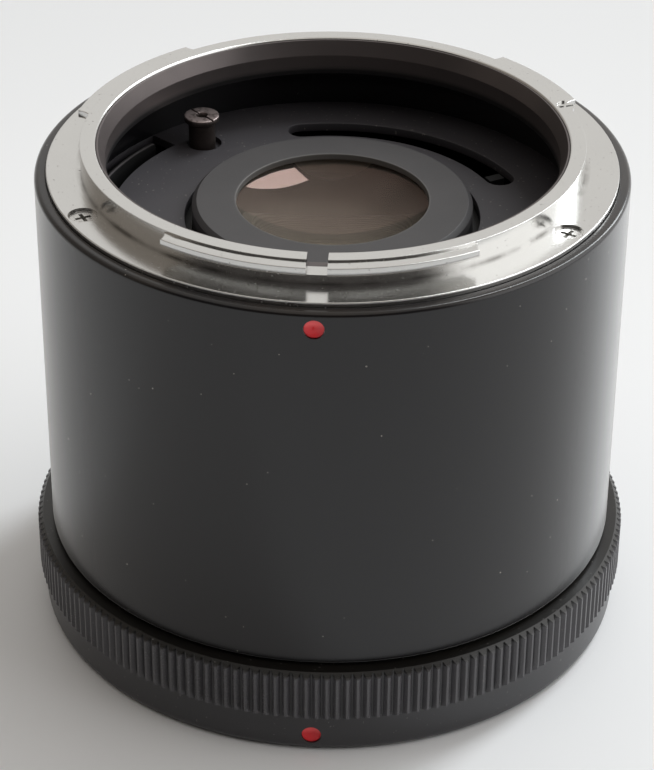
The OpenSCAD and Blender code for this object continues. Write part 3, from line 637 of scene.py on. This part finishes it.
anodised, tone = new_finish("barrel_anodised")
place = place_on(tone)
grain = noise(tone, place, 7000, 2)
cloud = noise(tone, place, 45, 4)
smudge = noise(tone, place, 160, 5, 0.6)
dust = specks(tone, place, 560, 0.05, 0.76) + specks(tone, place, 900, 0.055, 0.86)
near_rim = span(tone, height_at(tone, place), (rim_z - 0.45) * mm, (rim_z - 0.1) * mm)
past_recess = span(tone, radius_at(tone, place), (recess_r - 0.2) * mm, (recess_r + 0.2) * mm)
polish = near_rim * past_recess * span(tone, smudge, 0.3, 0.6)
black = between(tone, cloud, (0.0037, 0.0034, 0.0045), (0.0058, 0.0053, 0.0068))
handled = between(tone, polish, black, (0.012, 0.008, 0.006))
finish_solid(tone, {
    "Base Color": between(tone, dust, handled, (0.33, 0.31, 0.28)),
    "Roughness": 0.19 + 0.06 * smudge + 0.04 * grain - 0.06 * polish,
    "Sheen Weight": 0.8,
    "Sheen Roughness": 0.3,
    "Normal": bumped(tone, grain + 0.6 * dust, 0.1, 0.06),
})
barrel_tube.data.materials.append(anodised)
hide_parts("barrel")
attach(barrel_tube, "housing")

# Index dots in their dimples, on the barrel and on the breech ring.
# A drop of red enamel left to level, so its face is hollow and glossy.
enamel, tone = new_finish("red_enamel")
place = place_on(tone)
cloud = noise(tone, place, 1400, 3)
pits = noise(tone, place, 6000, 2)
# Painted reflection: the upper part of each dot is painted lighter, as the hollow face mirrors the
# bright table there.
box_place = tone.make("ShaderNodeTexCoord", {}, {}, "Generated")
painted_reflection_upper = span(tone, height_at(tone, box_place) + 0.2 * cloud, 0.6, 0.85)
finish_solid(tone, {
    "Base Color": between(tone, painted_reflection_upper, (0.8, 0.01, 0.018), (1.0, 0.085, 0.09)),
    "Roughness": 0.25 + 0.12 * pits,
    "Coat Weight": 0.2,
    "Normal": bumped(tone, pits, 0.15, 0.08),
})
dress(enamel, "front_index_dot", "breech_index_dot")

# Front mount: flange plate, raised ring and three undercut lobes.
# Turned from brass in one piece, the gaps between the lobes and the index slot milled, then plated
# with satin chrome; it is held by three countersunk screws.
liner_hole_r, ring_r, lobe_r, flange_r = 24.9, 26.6, 28.0, 30.24
flange_z, seat_z = 53.5, 56.2
lobe_z, lobe_t, lobe_edge = seat_z - 0.2, 0.85, 0.07
lobe_ends = {"front_lobe": (-124.5, -55.5), "right_lobe": (23, 51), "left_lobe": (129, 171)}
root_r, end_cutter_r, end_inset = ring_r - 0.5, 1.7, math.radians(3)
index_slot_w, index_slot_z = 2.1, seat_z - 1.7
screw_circle_r, screw_azimuths = 28.42, (-30, 90, 210)
screw_head_r, screw_cone_r, screw_shank_r = 1.56, 1.43, 0.83
screw_head_t, screw_cone_t = 0.3, 0.6
stop_circle_r, stop_az, stop_hole_r, stop_hole_floor = 26.35, 21, 0.98, 0.01
bm = bmesh.new()
turn_outline(bm, rounded([
    (liner_hole_r, recess_z), (flange_r, recess_z), (flange_r, flange_z, 0.12), (ring_r, flange_z),
    (ring_r, seat_z, 0.05), (liner_hole_r, seat_z, 0.28),
], 4), 360)
front_flange = piece_from("front_flange", bm)


def slot_block():
    """The cutter of the index slot, which faces -Y."""
    length, tall, middle_y = 8, 4, -27
    return block_cutter(
        (index_slot_w, length, tall), Matrix.Translation((0, middle_y, index_slot_z + tall / 2))
    )


screw_hole = [
    (0, 1), (screw_head_r, 1), (screw_head_r, -screw_head_t), (screw_cone_r, -screw_head_t),
    (screw_shank_r, -screw_head_t - screw_cone_t), (screw_shank_r, -3), (0, -3),
]
screw_cutters = [
    round_cutter(screw_hole, spot_at(screw_circle_r, az, flange_z)) for az in screw_azimuths
]
stop_cutter = round_cutter(
    drill(stop_hole_r, 4, stop_hole_floor), spot_at(stop_circle_r, stop_az, flange_z)
)
cut_away(front_flange, [slot_block(), stop_cutter, *screw_cutters])


def arc(r, first, last, steps):
    """The points between the ends of an arc, each a radius and an azimuth in radians."""
    return [(r, first + (last - first) * i / steps) for i in range(1, steps)]


def hollow_end(az, sense, steps=8):
    """The end of a lobe from its root to its edge, hollow where the milling cutter stopped."""
    points = []
    for i in range(steps + 1):
        r = root_r + (lobe_r - root_r) * i / steps
        push = math.sqrt(max(end_cutter_r ** 2 - (r - lobe_r) ** 2, 0)) / lobe_r
        points.append((r, math.radians(az) + sense * (push - end_inset)))
    return points


def lobe_points(az0, az1):
    """The outline of a lobe between two azimuths in degrees, in mm."""
    start, end = hollow_end(az0, 1), hollow_end(az1, -1)
    edge_steps = 2 * int(math.degrees(end[-1][1] - start[-1][1]))
    polar = [
        *start, *arc(lobe_r, start[-1][1], end[-1][1], edge_steps),
        *end[::-1], *arc(root_r, end[0][1], start[0][1], 40),
    ]
    return [(r * math.cos(az), r * math.sin(az)) for r, az in polar]


lobes = [
    plate(name, [lobe_points(*ends)], lobe_z - lobe_t, lobe_z, lobe_edge)
    for name, ends in lobe_ends.items()
]
cut_away(lobes[0], [slot_block()])

chrome, tone = new_finish("satin_chrome")
place = place_on(tone)
radius, height = radius_at(tone, place), height_at(tone, place)
marks = turned(tone, radius, height, 5200)
haze = noise(tone, place, 190, 4)
scuff = noise(tone, place, 1100, 5, 0.65)
dirt = span(tone, noise(tone, place, 2600, 2), 0.68, 0.74)
by_ring = span(tone, radius, (ring_r + 0.6) * mm, ring_r * mm)
by_flange = span(tone, height, (flange_z + 0.5) * mm, flange_z * mm)
# Painted shade: darker in the corner between the raised ring and the flange.
painted_shade = by_ring * by_flange * span(tone, haze, 0.4, 0.6)
plated = between(tone, haze, (0.66, 0.655, 0.64), (0.7, 0.695, 0.68))
finish_solid(tone, {
    "Base Color": between(tone, 0.55 * dirt + 0.6 * painted_shade, plated, (0.13, 0.12, 0.105)),
    "Metallic": 1.0,
    "Roughness": 0.145 + 0.04 * scuff + 0.05 * marks + 0.2 * dirt,
    "Normal": bumped(tone, marks + 0.5 * scuff, 0.07, 0.05),
})
for piece in [front_flange, *lobes]:
    even_faces(piece)
    piece.data.materials.append(chrome)
    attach(piece, "housing")
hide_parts("front_mount")
dress(chrome, "rear_seat_ring", "bayonet_stop_screw")

# Throat liner, the sleeve inside the raised ring.
# Thin aluminium, blackened and chamfered at its mouth; the index slot is milled through it too.
throat_r, liner_r, liner_mouth_r = 24.0, 24.87, 24.7
liner_z, chamfer_z = seat_z - 0.2, 54.4
bm = bmesh.new()
turn_outline(bm, rounded([
    (throat_r, recess_z), (liner_r, recess_z), (liner_r, liner_z), (liner_mouth_r, liner_z, 0.05),
    (throat_r, chamfer_z, 0.3),
], 4))
liner = piece_from("liner", bm)
cut_away(liner, [slot_block()])
even_faces(liner)

liner_black, tone = new_finish("liner_black")
place = place_on(tone)
grain = noise(tone, place, 5000, 2)
cloud = noise(tone, place, 130, 4)
above_foot = span(tone, height_at(tone, place), (recess_z + 0.4) * mm, (recess_z + 1) * mm)
rubbed = above_foot * span(tone, cloud, 0.2, 0.5, 0.7, 1.0)
finish_solid(tone, {
    "Base Color": between(tone, rubbed, (0.008, 0.0075, 0.008), (0.135, 0.117, 0.115)),
    "Metallic": 0.7 * rubbed,
    "Roughness": 0.32 + 0.12 * cloud + 0.06 * grain,
    "Normal": bumped(tone, grain, 0.12, 0.06),
})
liner.data.materials.append(liner_black)
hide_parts("throat_liner")
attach(liner, "housing")

# Screws: three in the flange, and those of the rear and the inside.
# Cut steel, bright plated, with cross or slotted heads that a driver has bruised a little.
screw_steel, tone = new_finish("screw_steel")
bruise = noise(tone, place_on(tone), 2200, 4, 0.6)
stain = span(tone, bruise, 0.55, 0.75)
finish_solid(tone, {
    "Base Color": between(tone, stain, (0.66, 0.65, 0.63), (0.2, 0.19, 0.18)),
    "Metallic": 1.0,
    "Roughness": 0.16 + 0.25 * bruise,
    "Normal": bumped(tone, bruise, 0.2, 0.1),
})
dress(
    screw_steel, "front_mount_screws", "lens_tube_screws", "rear_seat_screws",
    "rear_cover_screws", "breech_ring_screws", "drive_screw",
)

# Rear cover, the plate over the levers, and the breech ring's friction washer.
# The cover is stamped and sprayed charcoal; the washer is plain sheet brass.
dress(charcoal, "rear_cover")
sheet_brass, tone = new_finish("sheet_brass")
tarnish = noise(tone, place_on(tone), 220, 4)
finish_solid(tone, {
    "Base Color": between(tone, tarnish, (0.6, 0.43, 0.2), (0.38, 0.26, 0.13)),
    "Metallic": 1.0,
    "Roughness": 0.25 + 0.2 * tarnish,
})
dress(sheet_brass, "breech_washer")

# Breech grip ring, the knurled ring that locks the converter to a camera.
# Turned aluminium with straight-cut grooves, anodised black after knurling; ridges rubbed smoother.
groove_r, ridge_r, shade_z = 32.68, 32.85, 9.8
grip_black, tone = new_finish("grip_black")
place = place_on(tone)
grain = noise(tone, place, 7000, 2)
cloud = noise(tone, place, 70, 4)
lint = span(tone, noise(tone, place, 2600, 1), 0.73, 0.77)
ridge = span(tone, radius_at(tone, place), groove_r * mm, ridge_r * mm)
rub = ridge * span(tone, cloud, 0.2, 0.5, 0.7, 1.0)
# Painted shade: the top land, in the gap under the barrel, is painted nearly black.
painted_shade = span(tone, height_at(tone, place), shade_z * mm, (shade_z + 0.3) * mm)
knurl = between(tone, rub, (0.034, 0.033, 0.036), (0.085, 0.082, 0.088))
shaded_knurl = between(tone, painted_shade, knurl, (0.008, 0.007, 0.006))
finish_solid(tone, {
    "Base Color": between(tone, lint, shaded_knurl, (0.12, 0.115, 0.11)),
    "Roughness": 0.3 - 0.06 * rub + 0.05 * grain,
    "Normal": bumped(tone, grain, 0.1, 0.06),
})
dress(grip_black, "breech_grip_ring")

# The table that the converter stands on.
# A plain sheet, pale and matte, laid flat, with painted light: brighter round the converter, to offset
# the shade that the converter casts on it.
table_reach, table_z = 3.0, -0.05 * mm
painted_light_r, painted_light_end_r = 50, 170
floor_mesh = bpy.data.meshes.new("floor")
corner_signs = ((-1, -1), (1, -1), (1, 1), (-1, 1))
floor_mesh.from_pydata(
    [(x * table_reach, y * table_reach, table_z) for x, y in corner_signs], [], [(0, 1, 2, 3)]
)
floor = add_object("floor", floor_mesh)
pale, tone = new_finish("pale_table")
place = place_on(tone)
cloud = noise(tone, place, 6, 2)
# Painted light: the sheet is lighter near the converter, with a faint cloud of tone over all of it.
sheet_and_painted_light = span(tone, radius_at(tone, place), painted_light_end_r * mm, painted_light_r * mm) + 0.1 * cloud
finish_solid(tone, {
    "Base Color": between(tone, sheet_and_painted_light, (0.76, 0.765, 0.775), (0.88, 0.885, 0.895)),
    "Roughness": 0.55,
})
floor_mesh.materials.append(pale)

# Light: a room with a bright wall to the right, a duller one behind, a dim left side, a dark card
# in front and a grey ceiling, and one tall window behind to the right.
back_wall, left_side = (0.8, 0.785, 0.76), (0.28, 0.25, 0.22)
right_wall, front_card, ceiling = (1.85, 1.85, 1.85), (0.06, 0.055, 0.053), (0.68, 0.65, 0.61)
window_place, window_aim = Vector((0.811, 0.87, 1.12)), Vector((0, 0, 0.05))
window_w, window_h, window_power = 0.33, 1.7, 17.5
world = bpy.data.worlds.new("room")
bpy.context.scene.world = world
world.use_nodes = True
world.node_tree.nodes.clear()
tone = Tone(world.node_tree)
ray_way = tone.make("ShaderNodeTexCoord", {}, {}, "Generated")
flat_way = scaled(tone, ray_way, (1, 1, 0))
bearing = tone.make("ShaderNodeVectorMath", {"operation": "NORMALIZE"}, {0: flat_way})


def towards(azimuth):
    """The cosine of the angle, seen from above, between a ray and an azimuth in degrees."""
    aim = (math.cos(math.radians(azimuth)), math.sin(math.radians(azimuth)), 0)
    return tone.make(
        "ShaderNodeVectorMath", {"operation": "DOT_PRODUCT"}, {0: bearing, 1: aim}, "Value"
    )


room = between(tone, span(tone, towards(180), 0.2, 0.75), back_wall, left_side)
room = between(tone, span(tone, towards(2), 0.77, 0.9), room, right_wall)
room = between(tone, span(tone, towards(-97), 0.42, 0.6), room, front_card)
room = between(tone, span(tone, height_at(tone, ray_way), 0.66, 0.82), room, ceiling)
backdrop = tone.make("ShaderNodeBackground", {}, {"Color": room, "Strength": 1.0})
tone.make("ShaderNodeOutputWorld", {}, {"Surface": backdrop})

lamp = bpy.data.lights.new("tall_window", "AREA")
lamp.shape = "RECTANGLE"
lamp.size = window_w
lamp.size_y = window_h
lamp.energy = window_power
lamp.color = (0.92, 0.97, 1.0)
window = add_object("tall_window", lamp)
window.location = window_place
window.rotation_euler = (window_aim - window_place).to_track_quat("-Z", "Y").to_euler()

# Camera, with a long lens about 0.3 m away.
# Its angles, distance and focal length were fitted to the outlines in the photograph.
elevation, turn, roll = math.radians(31.95139), math.radians(3.15), math.radians(0.45675)
distance, sideways, aim_z = 294.057 * mm, 0.42065 * mm, 25.3765 * mm
focal_px, photo_height_px, sensor_w = 2640.49, 770, 36
back = Vector((
    math.cos(elevation) * math.sin(turn), -math.cos(elevation) * math.cos(turn), math.sin(elevation)
))
level = Vector((math.cos(turn), math.sin(turn), 0))
upright = back.cross(level)
right = level * math.cos(roll) + upright * math.sin(roll)
up = upright * math.cos(roll) - level * math.sin(roll)
lens = bpy.data.cameras.new("camera")
lens.sensor_width = sensor_w
lens.lens = focal_px * sensor_w / photo_height_px
lens.clip_start = 0.01
camera = add_object("camera", lens)
spot = back * distance - level * sideways + Vector((0, 0, aim_z))
camera.matrix_world = Matrix.Translation(spot) @ Matrix((right, up, back)).transposed().to_4x4()
bpy.context.scene.camera = camera
bpy.context.scene.view_settings.view_transform = "Standard"
